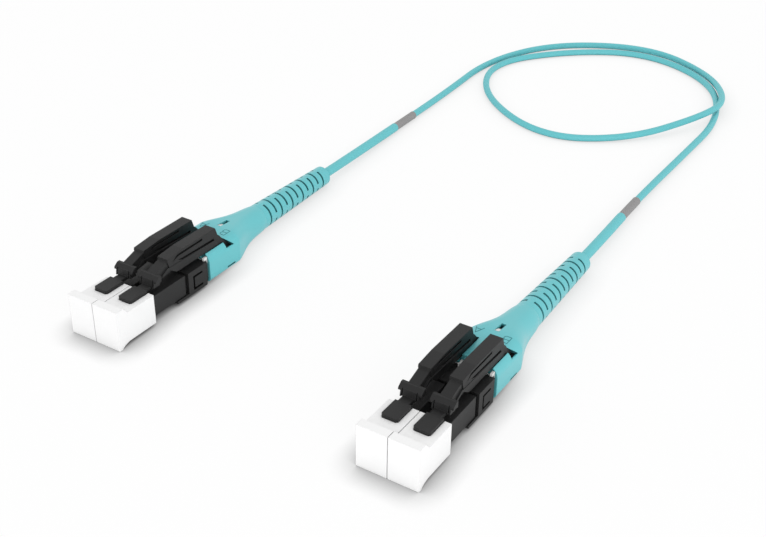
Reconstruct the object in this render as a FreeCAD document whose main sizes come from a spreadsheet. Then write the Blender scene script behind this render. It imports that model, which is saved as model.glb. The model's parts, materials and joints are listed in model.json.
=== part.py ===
import FreeCAD, Part
import math
import os

import Sketcher
from FreeCAD import Placement, Rotation, Vector

# A duplex LC fibre patch cord: two uniboot connectors joined by one round cable.
#
# Each connector is built in its own frame, in millimetres:
#   x  forward along the fibre, 0 at the nose of the plugs, so the cable leaves at -x
#   y  to the left, 0 midway between the two plugs
#   z  up, 0 on the fibre axis
# A plug's pieces are built about that plug's own fibre (y = 0) and placed half a pitch to the side.


# ---------------------------------------------------------------- driving dimensions
SIZES = [
    # the duplex interface
    ("plug_pitch", 6.25, "distance between the two fibre axes"),
    ("fit_gap", 0.05, "clearance between moulded pieces that slide or snap together"),
    # plug housing
    ("plug_width", 4.5, "square section of the plug front"),
    ("plug_front_length", 15.3, "nose to the snap collar"),
    ("neck_width", 3.7, "square neck that the collar clips over"),
    ("neck_length", 6.3, "length of that neck"),
    ("nose_chamfer", 0.35, "lead-in on the nose"),
    ("nose_bore_radius", 1.35, "recess round the ferrule"),
    ("nose_bore_depth", 4.7, "depth of that recess"),
    ("web_bore_radius", 0.75, "hole in the web that stops the flange"),
    ("web_thickness", 1.0, "thickness of that web"),
    ("chamber_radius", 1.4, "spring chamber"),
    ("root_length", 1.5, "latch root, along the plug"),
    ("root_height", 0.8, "latch root, above the plug"),
    ("latch_setback", 0.45, "latch root behind the nose"),
    # latch lever
    ("latch_pad_length", 4.65, "flat plate at the front of the latch"),
    ("latch_pad_width", 3.3, "its width"),
    ("latch_pad_thickness", 0.9, "its thickness"),
    ("latch_pad_chamfer", 0.35, "its two front corners"),
    ("latch_neck_width", 2.0, "narrow strip behind the plate"),
    ("latch_lug_width", 4.7, "cross-piece that locks in the adapter"),
    ("latch_lug_foot_width", 3.7, "lower part of the cross-piece"),
    ("latch_lug_setback", 1.7, "cross-piece behind the plate"),
    ("latch_lug_length", 1.8, "its length along the plug"),
    ("latch_lug_top", 5.7, "its top above the fibre axis"),
    ("latch_score_width", 0.2, "upright groove in each end of its front face"),
    ("latch_arm_width", 2.2, "arm behind the cross-piece"),
    ("lever_width", 2.8, "thumb lever, at its rail"),
    ("lever_step", 0.1, "the lever's upper part is narrower by this much on each side"),
    ("lever_top", 7.7, "top of the lever above the fibre axis"),
    ("lever_crest", 16.5, "the lever's top falls forward from here, behind the nose"),
    ("lever_fall", 0.35, "how far it has fallen at the front face"),
    ("lever_start", 11.8, "front face of the lever, behind the nose"),
    ("lever_face_height", 0.5, "height of that face"),
    ("lever_end", 26.5, "rear end of the lever's top, behind the nose"),
    ("lever_rail_top", 5.5, "rail low on the lever: its top above the fibre axis"),
    ("lever_underside", 3.65, "underside of the rail above the fibre axis"),
    ("lever_groove_depth", 0.5, "grooves in the sides of the lever"),
    ("lever_groove_height", 0.5, "height of each groove"),
    ("tail_end", 30.6, "rear end of the latch, behind the nose"),
    ("tail_top", 2.2, "top of that end above the fibre axis"),
    ("tail_thickness", 0.7, "its thickness"),
    ("foot_length", 1.6, "foot that hooks into the boot from the latch's end"),
    ("foot_reach", 0.62, "foot beyond the lever's outer side"),
    # snap collar
    ("collar_width", 5.0, "collar behind the plug front"),
    ("collar_length", 6.4, "shoulder of the plug to the collar's rear"),
    ("collar_gap", 0.8, "neck left bare ahead of the collar"),
    ("collar_top", 2.35, "its top above the fibre axis"),
    ("collar_bottom", 2.95, "its underside below the fibre axis"),
    ("collar_foot_length", 2.7, "foot that runs forward under the plug"),
    ("collar_foot_thickness", 0.6, "its thickness"),
    ("collar_skirt_length", 0.65, "stepped skirt at the rear"),
    ("collar_skirt_inset", 0.4, "step of that skirt"),
    ("tongue_setback", 1.3, "snap tongue in each side of the collar, ahead of the rear"),
    ("tongue_length", 2.9, "its length"),
    ("tongue_rise", 0.75, "tongue above the collar's underside"),
    ("tongue_height", 3.3, "its height"),
    ("tongue_slot", 0.5, "slot round the tongue"),
    # dust cap
    ("cap_width", 6.1, "one cap"),
    ("cap_overlap", 5.35, "length of plug that the cap covers"),
    ("cap_reach", 4.9, "cap ahead of the nose"),
    ("cap_top", 3.25, "top of the sleeve above the fibre axis"),
    ("cap_bottom", 3.15, "underside of the sleeve below the fibre axis"),
    ("cap_lip_top", 4.6, "top of the finger lip"),
    ("cap_lip_bottom", 4.15, "bottom of the finger lip"),
    ("cap_lip_length", 1.85, "flat of the upper lip"),
    ("cap_ramp_length", 1.2, "slope behind the upper lip"),
    ("cap_heel_length", 0.8, "flat of the lower lip"),
    ("cap_flare_length", 3.3, "length of the lower flare"),
    ("cap_flare_radius", 4.2, "its hollow curve"),
    ("cap_well_radius", 1.2, "well for the ferrule tip"),
    ("cap_well_depth", 3.2, "its depth ahead of the nose"),
    # ferrule and its spring
    ("ferrule_radius", 0.625, "zirconia ferrule"),
    ("ferrule_reach", 2.0, "ferrule ahead of the nose"),
    ("ferrule_chamfer", 0.15, "polished end"),
    ("ferrule_grip", 1.6, "ferrule pressed into its flange"),
    ("ferrule_travel", 0.5, "how far the ferrule can be pushed back"),
    ("flange_radius", 1.28, "flange disc"),
    ("flange_thickness", 1.1, "flange disc"),
    ("flange_tube_radius", 0.9, "tube behind the disc"),
    ("flange_tube_length", 2.6, "its length"),
    ("flange_seat_gap", 0.05, "flange behind the web"),
    ("buffer_radius", 0.45, "buffered fibre"),
    ("buffer_gap", 0.15, "clearance round the buffered fibre"),
    ("spring_wire", 0.25, "spring wire"),
    ("spring_radius", 1.12, "mean radius of the spring"),
    ("spring_length", 5.4, "length as fitted"),
    ("spring_turns", 6, "turns"),
    ("seat_nose_length", 1.0, "spring seat ahead of its tube"),
    ("seat_tube_radius", 1.2, "tube of the spring seat"),
    ("seat_shoulder_radius", 1.75, "shoulder that the carrier traps"),
    ("seat_shoulder_length", 0.6, "its length"),
    ("seat_tail_length", 1.6, "tube behind the shoulder"),
    # boot, one moulding with the strain relief
    ("boot_gap", 1.0, "gap between collar and boot"),
    ("boot_margin", 2.575, "side of the boot beyond the fibre axis of a plug"),
    ("boot_top", 4.05, "its top above the fibre axis"),
    ("boot_bottom", 2.95, "its underside below the fibre axis"),
    ("boot_top_round", 2.6, "rounding of the upper edges"),
    ("boot_bottom_round", 1.0, "rounding of the lower edges"),
    ("boot_block_length", 9.8, "straight block"),
    ("boot_blend_length", 12.8, "blend from the block to the round tail"),
    ("boot_wall", 0.7, "wall of the block"),
    ("boot_end_wall", 1.7, "solid end of the block behind the hollow"),
    ("hollow_top", 2.05, "roof of the hollow above the fibre axis"),
    ("hollow_round", 0.8, "rounding of its upper edges"),
    ("trough_floor", 2.5, "floor of the block under a lever"),
    ("trough_length", 3.4, "length of that floor"),
    ("trough_gap", 0.125, "clearance on each side of a lever"),
    ("notch_length", 2.35, "notch for the latch's foot, open to the side"),
    ("notch_floor", 2.3, "sill of the notch above the fibre axis"),
    ("notch_slope", 1.7, "the notch's rear wall leans forward by this much up to the boot's top"),
    ("foot_pocket_low", -0.5, "bottom of the pocket that the foot sinks into"),
    ("foot_gap", 0.15, "clearance round the foot"),
    ("relief_length", 26.4, "round tail"),
    ("relief_start_radius", 3.0, "its radius at the blend"),
    ("relief_end_radius", 2.3, "its radius at the cable end"),
    ("relief_end_round", 0.9, "rounding of the cable end"),
    ("slot_first", 1.6, "first slot behind the blend"),
    ("slot_pitch", 2.08, "distance from slot to slot"),
    ("slot_width", 0.55, "width of each slot"),
    ("slot_floor_radius", 1.85, "radius at the bottom of the slots"),
    ("tail_bore_radius", 1.25, "bore for the cable"),
    ("crimp_bore_radius", 2.0, "wider bore round the crimp"),
    ("window_width", 0.95, "snap window in the top"),
    ("window_length", 3.1, "its length"),
    ("window_start", 0.3, "window behind the block"),
    ("side_notch_start", 1.7, "thin notch low in each side, ahead of the block's end"),
    ("side_notch_length", 2.6, "its length"),
    ("side_notch_height", 0.35, "its height"),
    # carrier inside the boot
    ("carrier_wall", 1.15, "front wall of the carrier"),
    ("carrier_floor", 0.5, "its floor"),
    ("carrier_rib", 0.8, "rib between the fibres"),
    ("carrier_beam", 1.8, "beam on the rib"),
    ("tooth_length", 1.4, "snap tooth in the window"),
    ("tab_length", 1.0, "outer tab over the collar"),
    ("tab_height", 0.6, "height of the tabs"),
    ("tab_width", 0.5, "width of the tabs"),
    ("tab_gap", 0.1, "play between each tab and the lever that sinks between two of them"),
    ("inner_tab_length", 1.5, "inner tab over the collar"),
    # cable
    ("cord_radius", 0.85, "round duplex cable"),
    ("sleeve_radius", 1.1, "outer sleeve on the cable next to the boot"),
    ("sleeve_gap", 0.03, "clearance between sleeve and cable"),
    ("band_radius", 1.0, "marker band at the end of the sleeve"),
    ("band_length", 9.3, "its length"),
    ("sleeve_a_length", 60.6, "sleeve of connector a, from inside the boot"),
    ("sleeve_b_length", 50.5, "sleeve of connector b, from inside the boot"),
    ("cable_start", 44.0, "end of the cable jacket, behind the nose"),
    ("crimp_setback", 0.7, "rear of the wider bore, behind the start of the tail"),
    ("crimp_length", 4.3, "crimp ring"),
    ("crimp_radius", 1.7, "its outer radius"),
    # how the two connectors lie
    ("connector_spread", 67.87, "distance between the two connectors"),
    ("connector_stagger", 2.39, "connector b lies this much further forward"),
]


class Size:
    """A length that carries both its number and the sheet formula it comes from."""

    def __init__(self, value, formula):
        self.value = value
        self.formula = formula

    def combine(self, other, sign, value):
        return Size(value, f"({self.formula} {sign} {as_size(other).formula})")

    def __add__(self, other):
        return self.combine(other, "+", self.value + as_size(other).value)

    def __sub__(self, other):
        return self.combine(other, "-", self.value - as_size(other).value)

    def __mul__(self, other):
        return self.combine(other, "*", self.value * as_size(other).value)

    def __truediv__(self, other):
        return self.combine(other, "/", self.value / as_size(other).value)

    def __neg__(self):
        return Size(-self.value, f"(0 - {self.formula})")

    __radd__ = __add__
    __rmul__ = __mul__

    def __rsub__(self, other):
        return as_size(other) - self


def as_size(number):
    return number if isinstance(number, Size) else Size(float(number), f"{float(number):.6g}")


doc = FreeCAD.newDocument("lc_patch_cord")
sheet = doc.addObject("Spreadsheet::Sheet", "Dimensions")
for row, (alias, number, meaning) in enumerate(SIZES, start=1):
    sheet.set(f"A{row}", meaning)
    sheet.set(f"B{row}", str(number))
    sheet.setAlias(f"B{row}", alias)
doc.recompute()


def size(alias):
    """The named cell of the sheet, as a Size."""
    return Size(float(sheet.get(alias)), f"Dimensions.{alias}")


# ---------------------------------------------------------------- sketch and feature helpers
def new_body(label):
    body = doc.addObject("PartDesign::Body", label)
    body.Label = label
    return body


def origin_part(body, role):
    return next(item for item in body.Origin.OriginFeatures if item.Role == role)


def bind(thing, prop, length):
    """Tie a property to the sheet."""
    thing.setExpression(prop, as_size(length).formula)


def new_sketch(body, plane, offset):
    sketch = body.newObject("Sketcher::SketchObject", "Sketch")
    sketch.AttachmentSupport = (origin_part(body, plane), "")
    sketch.MapMode = "FlatFace"
    if offset is not None:
        sketch.AttachmentOffset = Placement(Vector(0, 0, as_size(offset).value), Rotation())
        bind(sketch, "AttachmentOffset.Base.z", offset)
    return sketch


def pin_point(sketch, edge, end, place):
    """Hold one end of an edge at its two distances from the sketch origin."""
    for kind, axis, length in (("DistanceX", -2, place[0]), ("DistanceY", -1, place[1])):
        length = as_size(length)
        if length.value == 0.0:
            sketch.addConstraint(Sketcher.Constraint("PointOnObject", edge, end, axis))
        else:
            index = sketch.addConstraint(Sketcher.Constraint(kind, -1, 1, edge, end, length.value))
            bind(sketch, f"Constraints[{index}]", length)


def draw_loop(sketch, corners, arcs=None):
    """Add one closed outline. arcs maps the number of an edge to (radius, bulge): the edge is then an
    arc that bulges to the right of the direction of travel (+1) or to its left (-1)."""
    arcs = arcs or {}
    places = [Vector(as_size(x).value, as_size(y).value, 0) for x, y in corners]
    ends = []
    for number, start in enumerate(places):
        stop = places[(number + 1) % len(places)]
        if number not in arcs:
            edge = sketch.addGeometry(Part.LineSegment(start, stop), False)
            ends.append((edge, 1, 2))
            continue
        radius, bulge = arcs[number]
        chord = stop - start
        half = chord.Length / 2
        rise = as_size(radius).value - math.sqrt(max(as_size(radius).value ** 2 - half**2, 0.0))
        side = Vector(chord.y, -chord.x, 0).normalize() * (rise * bulge)
        edge = sketch.addGeometry(Part.Arc(start, (start + stop) * 0.5 + side, stop), False)
        forward = (sketch.getPoint(edge, 1) - start).Length < (sketch.getPoint(edge, 1) - stop).Length
        ends.append((edge, 1, 2) if forward else (edge, 2, 1))
        index = sketch.addConstraint(Sketcher.Constraint("Radius", edge, as_size(radius).value))
        bind(sketch, f"Constraints[{index}]", radius)
    for number, corner in enumerate(corners):
        edge, first, _ = ends[number]
        before, _, last = ends[number - 1]
        sketch.addConstraint(Sketcher.Constraint("Coincident", before, last, edge, first))
        pin_point(sketch, edge, first, corner)


def outline(body, plane, corners, arcs=None, offset=None):
    sketch = new_sketch(body, plane, offset)
    draw_loop(sketch, corners, arcs)
    return sketch


def circle(body, plane, radius, centre=(0, 0), offset=None):
    sketch = new_sketch(body, plane, offset)
    middle = Vector(as_size(centre[0]).value, as_size(centre[1]).value, 0)
    edge = sketch.addGeometry(Part.Circle(middle, Vector(0, 0, 1), as_size(radius).value), False)
    index = sketch.addConstraint(Sketcher.Constraint("Radius", edge, as_size(radius).value))
    bind(sketch, f"Constraints[{index}]", radius)
    pin_point(sketch, edge, 3, centre)
    return sketch


def rectangle(low, high):
    return [(low[0], low[1]), (high[0], low[1]), (high[0], high[1]), (low[0], high[1])]


def extrude(body, kind, sketch, length, way="both"):
    """Pad or Pocket a sketch. way is both (half to each side), along the sketch's normal, or against it."""
    feature = body.newObject(f"PartDesign::{kind}", kind)
    feature.Profile = sketch
    feature.Type = "Length"
    bind(feature, "Length", length)
    if way == "both":
        feature.Midplane = True
    elif kind == "Pad":
        feature.Reversed = way == "against"
    else:
        feature.Reversed = way == "along"
    body.Tip = feature
    return feature


def turn(body, kind, sketch):
    """Revolve or groove a sketch about the fibre axis."""
    feature = body.newObject(f"PartDesign::{kind}", kind)
    feature.Profile = sketch
    feature.ReferenceAxis = (sketch, ["H_Axis"])
    feature.Angle = 360
    body.Tip = feature
    return feature


def turned_profile(body, kind, corners):
    return turn(body, kind, outline(body, "XZ_Plane", corners))


def row_of(body, feature, length, count):
    """Repeat a feature along x."""
    pattern = body.newObject("PartDesign::LinearPattern", "LinearPattern")
    pattern.Originals = [feature]
    pattern.Direction = (origin_part(body, "X_Axis"), [""])
    bind(pattern, "Length", length)
    pattern.Occurrences = count
    body.Tip = pattern
    return pattern


# ---------------------------------------------------------------- values that several pieces share
SPRING_SIDES = 10
HALF_PLUG = size("plug_width") / 2
HALF_PITCH = size("plug_pitch") / 2
PLUG_SHOULDER = -size("plug_front_length")
NECK_END = PLUG_SHOULDER - size("neck_length")
COLLAR_FRONT = PLUG_SHOULDER - size("collar_gap")
COLLAR_END = PLUG_SHOULDER - size("collar_length")
BOOT_FRONT = COLLAR_END - size("boot_gap")
BLOCK_END = BOOT_FRONT - size("boot_block_length")
RELIEF_START = BLOCK_END - size("boot_blend_length")
RELIEF_END = RELIEF_START - size("relief_length")
HALF_BOOT = HALF_PITCH + size("boot_margin")
HOLLOW_END = BLOCK_END + size("boot_end_wall")
WEB_FRONT = -size("nose_bore_depth")
WEB_BACK = WEB_FRONT - size("web_thickness")
PAD_FRONT = -size("latch_setback")
PAD_BACK = PAD_FRONT - size("latch_pad_length")
PAD_BOTTOM = HALF_PLUG + size("root_height")
PAD_TOP = PAD_BOTTOM + size("latch_pad_thickness")
TAIL_END = -size("tail_end")
FOOT_FRONT = TAIL_END + size("foot_length")
FOOT_OUT = size("lever_width") / 2 + size("foot_reach")
FLANGE_FRONT = WEB_BACK - size("flange_seat_gap")
FLANGE_BACK = FLANGE_FRONT - size("flange_thickness")
TUBE_END = FLANGE_BACK - size("flange_tube_length")
FERRULE_END = FLANGE_FRONT - size("ferrule_grip")
BUFFER_BORE = size("buffer_radius") + size("buffer_gap")
SEAT_FRONT = FLANGE_BACK - size("spring_length")
SHOULDER_FRONT = COLLAR_END - size("fit_gap")
SHOULDER_BACK = SHOULDER_FRONT - size("seat_shoulder_length")


# ---------------------------------------------------------------- pieces of one plug
def plug_housing(label):
    """Black moulding: square front, latch root on top, neck for the collar, stepped bore through it."""
    body = new_body(label)
    cut = size("nose_chamfer")
    side = [
        (PLUG_SHOULDER, -HALF_PLUG),
        (-cut, -HALF_PLUG),
        (0, -HALF_PLUG + cut),
        (0, HALF_PLUG - cut),
        (-cut, HALF_PLUG),
        (PLUG_SHOULDER, HALF_PLUG),
    ]
    extrude(body, "Pad", outline(body, "XZ_Plane", side), size("plug_width"))
    half_neck = size("neck_width") / 2
    neck = rectangle((NECK_END, -half_neck), (PLUG_SHOULDER, half_neck))
    extrude(body, "Pad", outline(body, "XZ_Plane", neck), size("neck_width"))
    root_front = PAD_FRONT - size("latch_pad_chamfer")
    root = rectangle((PAD_FRONT - size("root_length"), HALF_PLUG - cut), (root_front, PAD_BOTTOM))
    extrude(body, "Pad", outline(body, "XZ_Plane", root), size("latch_pad_width") - cut)
    bore = [
        (cut, 0),
        (cut, size("nose_bore_radius")),
        (WEB_FRONT, size("nose_bore_radius")),
        (WEB_FRONT, size("web_bore_radius")),
        (WEB_BACK, size("web_bore_radius")),
        (WEB_BACK, size("chamber_radius")),
        (NECK_END - cut, size("chamber_radius")),
        (NECK_END - cut, 0),
    ]
    turned_profile(body, "Groove", bore)
    return body


def plug_collar(label):
    """Black collar that clips over the neck: a foot runs forward below, a snap tongue in each side."""
    body = new_body(label)
    top = size("collar_top")
    bottom = -size("collar_bottom")
    foot_top = bottom + size("collar_foot_thickness")
    side = [
        (COLLAR_END, bottom),
        (PLUG_SHOULDER + size("collar_foot_length"), bottom),
        (PLUG_SHOULDER + size("collar_foot_length"), foot_top),
        (COLLAR_FRONT, foot_top),
        (COLLAR_FRONT, top),
        (COLLAR_END, top),
    ]
    extrude(body, "Pad", outline(body, "XZ_Plane", side), size("collar_width"))
    inset = size("collar_skirt_inset")
    skirt = rectangle(
        (COLLAR_END - size("collar_skirt_length"), bottom + inset), (COLLAR_END, top - inset)
    )
    extrude(body, "Pad", outline(body, "XZ_Plane", skirt), size("collar_width") - 2 * inset)
    half_hole = size("neck_width") / 2 + size("fit_gap")
    hole = rectangle(
        (COLLAR_END - size("collar_skirt_length") - inset, -half_hole), (COLLAR_FRONT + inset, half_hole)
    )
    extrude(body, "Pocket", outline(body, "XZ_Plane", hole), 2 * half_hole)
    slot = size("tongue_slot")
    back = COLLAR_END + size("tongue_setback")
    front = back + size("tongue_length")
    low = bottom + size("tongue_rise")
    high = low + size("tongue_height")
    loop = [
        (back, low),
        (front, low),
        (front, high),
        (back, high),
        (back, high - slot),
        (front - slot, high - slot),
        (front - slot, low + slot),
        (back, low + slot),
    ]
    extrude(body, "Pocket", outline(body, "XZ_Plane", loop), size("collar_width") + slot)
    return body


def latch(label, side):
    """Black latch: front plate, lugs that lock in the adapter, rising arm, thumb lever, and a tail with
    a foot that hooks into the boot on the outer side (side is +1 for the left plug, -1 for the right)."""
    body = new_body(label)
    half_pad = size("latch_pad_width") / 2
    corner = size("latch_pad_chamfer")
    plate = [
        (PAD_BACK, -half_pad),
        (PAD_FRONT - corner, -half_pad),
        (PAD_FRONT, -half_pad + corner),
        (PAD_FRONT, half_pad - corner),
        (PAD_FRONT - corner, half_pad),
        (PAD_BACK, half_pad),
    ]
    sketch = outline(body, "XY_Plane", plate, offset=PAD_BOTTOM)
    extrude(body, "Pad", sketch, size("latch_pad_thickness"), "along")
    half_plate = size("latch_pad_thickness") / 2
    lug_front = PAD_BACK - size("latch_lug_setback")
    lug_back = lug_front - size("latch_lug_length")
    lug_low = PAD_BOTTOM + half_plate
    lug_top = size("latch_lug_top")
    lug_step = (lug_low + lug_top) / 2
    neck = rectangle((lug_front - half_plate, PAD_BOTTOM + 0.1), (PAD_BACK + 0.2, PAD_TOP - 0.1))
    extrude(body, "Pad", outline(body, "XZ_Plane", neck), size("latch_neck_width"))
    below = [
        (lug_front, lug_low),
        (lug_front - 0.3, lug_top - 0.6),
        (lug_back, lug_top - 0.6),
        (lug_back, lug_low),
    ]
    extrude(body, "Pad", outline(body, "XZ_Plane", below), size("latch_lug_foot_width"))
    lugs = [
        (lug_front - 0.2, lug_step),
        (lug_front - 0.3, lug_top - 0.7),
        (lug_front - 1.2, lug_top),
        (lug_back, lug_top),
        (lug_back, lug_step - 0.2),
    ]
    extrude(body, "Pad", outline(body, "XZ_Plane", lugs), size("latch_lug_width"))
    scored = size("latch_score_width")
    score = [
        (lug_front + 1, lug_low - 1),
        (lug_front + 1, lug_top - 0.5),
        (lug_front - 0.5, lug_top - 0.5),
        (lug_front - scored, lug_low - 1),
    ]
    score_place = size("latch_lug_foot_width") / 2 - 2 * scored
    for place in (score_place, -score_place):
        extrude(body, "Pocket", outline(body, "XZ_Plane", score, offset=place), scored)
    top = size("lever_top")
    start = -size("lever_start")
    front_top = top - size("lever_fall")
    face_low = front_top - size("lever_face_height")
    rail_top = size("lever_rail_top")
    arm = [
        (lug_front - 0.3, lug_low),
        (lug_front - 0.7, lug_top - 0.4),
        (lug_back + 0.3, lug_top),
        (start - 0.4, face_low + 0.1),
        (start - 0.9, rail_top - 1.2),
    ]
    extrude(body, "Pad", outline(body, "XZ_Plane", arm), size("latch_arm_width"))
    rear = -size("lever_end")
    low = size("lever_underside")
    lever = [
        (start, face_low),
        (start - 0.1, front_top),
        (-size("lever_crest"), top + 0.05),
        (rear, top),
        (rear - 0.6, top - 1.8),
        (rear - 1.1, top - 2.2),
        (rear - 2.3, top - 3.7),
        (TAIL_END, size("tail_top")),
        (TAIL_END, size("tail_top") - size("tail_thickness")),
        (FOOT_FRONT - 0.2, size("tail_top") - size("tail_thickness")),
        (rear - 1.0, low - 1.0),
        (rear + 0.2, low),
        (start - 3.5, low),
        (start - 0.6, low + 1.1),
    ]
    narrow = size("lever_width") - 2 * size("lever_step")
    extrude(body, "Pad", outline(body, "XZ_Plane", lever), narrow)
    rail = [
        (start + 1.9, rail_top - 0.9),
        (start, rail_top + 0.1),
        (start - 0.2, rail_top - 0.1),
        (rear + 0.3, rail_top - 0.4),
        (rear - 0.8, low - 0.5),
        (rear - 1.0, low - 1.0),
        (rear + 0.2, low),
        (start - 3.2, low - 0.15),
        (start - 2.2, low),
        (start - 0.2, rail_top - 0.5),
        (start + 1.6, rail_top - 1.3),
    ]
    extrude(body, "Pad", outline(body, "XZ_Plane", rail), size("lever_width"))
    depth = size("lever_groove_depth")
    height = size("lever_groove_height")
    half = size("lever_width") / 2
    upper = [
        (start - 1.3, top - 1.6),
        (start - 3.0, top - 0.45),
        (rear + 4.1, top - 0.4),
        (rear + 4.1, top - 0.4 - height),
        (start - 3.1, top - 0.45 - height),
    ]
    lower = [
        (start - 3.0, top - 1.8),
        (rear + 0.6, top - 2.1),
        (rear + 0.6, top - 2.1 - height),
        (start - 4.4, top - 1.8 - height),
    ]
    for groove in (upper, lower):
        for place in (half - depth / 2, depth / 2 - half):
            sketch = outline(body, "XZ_Plane", groove, offset=place)
            extrude(body, "Pocket", sketch, depth * 1.001)
    foot = rectangle(
        (TAIL_END, size("tail_top") - size("tail_thickness")), (FOOT_FRONT, size("tail_top"))
    )
    inner = half - size("lever_step") - 0.3
    sketch = outline(body, "XZ_Plane", foot, offset=-side * (inner + FOOT_OUT) / 2)
    extrude(body, "Pad", sketch, FOOT_OUT - inner)
    return body


def dust_cap(label):
    """White cap: a sleeve over the plug, open round the latch root, with finger lips in front."""
    body = new_body(label)
    front = size("cap_reach")
    back = -size("cap_overlap")
    top = size("cap_top")
    lip = size("cap_lip_top")
    bottom = -size("cap_bottom")
    heel = -size("cap_lip_bottom")
    side = [
        (back, bottom),
        (front - size("cap_flare_length"), bottom),
        (front - size("cap_heel_length") - 0.25, heel + 0.35),
        (front - size("cap_heel_length"), heel),
        (front, heel),
        (front, lip),
        (front - size("cap_lip_length"), lip),
        (front - size("cap_lip_length") - size("cap_ramp_length"), top),
        (back, top),
    ]
    sketch = outline(body, "XZ_Plane", side, arcs={1: (size("cap_flare_radius"), -1)})
    extrude(body, "Pad", sketch, size("cap_width"))
    half_hole = HALF_PLUG + size("fit_gap")
    hole = rectangle((back - 1, -half_hole), (2 * size("fit_gap"), half_hole))
    extrude(body, "Pocket", outline(body, "XZ_Plane", hole), 2 * half_hole)
    well = rectangle((0, 0), (size("cap_well_depth"), size("cap_well_radius")))
    turned_profile(body, "Groove", well)
    half_slot = size("latch_pad_width") / 2 + size("fit_gap")
    corner = size("latch_pad_chamfer")
    slot_front = PAD_FRONT + size("fit_gap")
    slot = [
        (back - 1, -half_slot),
        (slot_front - corner, -half_slot),
        (slot_front, -half_slot + corner),
        (slot_front, half_slot - corner),
        (slot_front - corner, half_slot),
        (back - 1, half_slot),
    ]
    extrude(body, "Pocket", outline(body, "XY_Plane", slot), lip, "along")
    return body


def ferrule(label):
    """Zirconia ferrule with a polished, chamfered tip. The bare fibre is glued in it and ground flush."""
    body = new_body(label)
    radius = size("ferrule_radius")
    tip = size("ferrule_reach")
    chamfer = size("ferrule_chamfer")
    profile = [(FERRULE_END, 0), (FERRULE_END, radius), (tip - chamfer, radius), (tip, radius - chamfer)]
    turned_profile(body, "Revolution", profile + [(tip, 0)])
    return body


def ferrule_flange(label):
    """Metal flange pressed on the ferrule: the disc stops on the web, the tube guides the spring."""
    body = new_body(label)
    profile = [
        (FLANGE_FRONT, size("ferrule_radius")),
        (FLANGE_FRONT, size("flange_radius")),
        (FLANGE_BACK, size("flange_radius")),
        (FLANGE_BACK, size("flange_tube_radius")),
        (TUBE_END, size("flange_tube_radius")),
        (TUBE_END, BUFFER_BORE),
        (FERRULE_END, BUFFER_BORE),
        (FERRULE_END, size("ferrule_radius")),
    ]
    turned_profile(body, "Revolution", profile)
    return body


def spring(label):
    """Coil spring behind the flange, a six-sided wire bent from turn to turn. It moves with the
    ferrule, so it stops short of its seat by the ferrule's travel."""
    wire = size("spring_wire").value
    gap = size("fit_gap").value
    front = FLANGE_BACK.value - wire / 2 - gap
    coiled = (size("spring_length") - size("ferrule_travel")).value - wire - 2 * gap
    steps = int(size("spring_turns").value * SPRING_SIDES)
    path = []
    for step in range(steps + 1):
        angle = 2 * math.pi * step / SPRING_SIDES
        across = Vector(0, math.sin(angle), math.cos(angle)) * size("spring_radius").value
        path.append(across + Vector(front - coiled * step / steps, 0, 0))
    heading = (path[1] - path[0]).normalize()
    outward = heading.cross(path[0].cross(heading)).normalize()
    upright = heading.cross(outward)
    corners = []
    for turned in range(6):
        angle = 2 * math.pi * turned / 6
        corners.append(path[0] + (outward * math.cos(angle) + upright * math.sin(angle)) * (wire / 2))
    section = Part.makePolygon(corners + corners[:1])
    feature = doc.addObject("Part::Feature", label)
    feature.Label = label
    feature.Shape = Part.makePolygon(path).makePipeShell([section], True, False, 1)
    return feature


def spring_seat(label):
    """Turned seat behind the spring. The carrier traps its shoulder."""
    body = new_body(label)
    nose = size("chamber_radius") - size("fit_gap")
    profile = [
        (SEAT_FRONT, BUFFER_BORE),
        (SEAT_FRONT, nose),
        (SEAT_FRONT - size("seat_nose_length"), nose),
        (SEAT_FRONT - size("seat_nose_length"), size("seat_tube_radius")),
        (SHOULDER_FRONT, size("seat_tube_radius")),
        (SHOULDER_FRONT, size("seat_shoulder_radius")),
        (SHOULDER_BACK, size("seat_shoulder_radius")),
        (SHOULDER_BACK, size("seat_tube_radius")),
        (SHOULDER_BACK - size("seat_tail_length"), size("seat_tube_radius")),
        (SHOULDER_BACK - size("seat_tail_length"), BUFFER_BORE),
    ]
    turned_profile(body, "Revolution", profile)
    return body


# ---------------------------------------------------------------- pieces of one connector
BLEND_SHARES = [
    # how far along the blend the boot has narrowed, sunk and rounded to the tail, each as a share
    (0.0, 0.0, 0.0, 0.0),
    (0.22, 0.37, 0.16, 0.18),
    (0.395, 0.63, 0.37, 0.48),
    (0.594, 0.796, 0.6, 0.79),
    (1.0, 1.0, 1.0, 1.0),
]


def rounded_section(body, half_width, top, bottom, top_round, bottom_round, offset):
    """Rounded rectangle across the fibre axis, at a distance along it."""
    corners = [
        (-half_width + bottom_round, bottom),
        (half_width - bottom_round, bottom),
        (half_width, bottom + bottom_round),
        (half_width, top - top_round),
        (half_width - top_round, top),
        (-half_width + top_round, top),
        (-half_width, top - top_round),
        (-half_width, bottom + bottom_round),
    ]
    quarter_arcs = {1: (bottom_round, 1), 3: (top_round, 1), 5: (top_round, 1), 7: (bottom_round, 1)}
    return outline(body, "YZ_Plane", corners, quarter_arcs, offset)


def relief_slots(body, plane, first):
    """Two opposite slots across the tail, repeated at every second pitch."""
    outer = size("relief_start_radius") + 0.4
    inner = size("slot_floor_radius")
    back = first - size("slot_width")
    sketch = new_sketch(body, plane, None)
    draw_loop(sketch, rectangle((back, inner), (first, outer)))
    draw_loop(sketch, rectangle((back, -outer), (first, -inner)))
    groove = turn(body, "Groove", sketch)
    groove.Angle = 152
    groove.Midplane = True
    return groove


def between(start, end, share):
    return start + (end - start) * share


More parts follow.
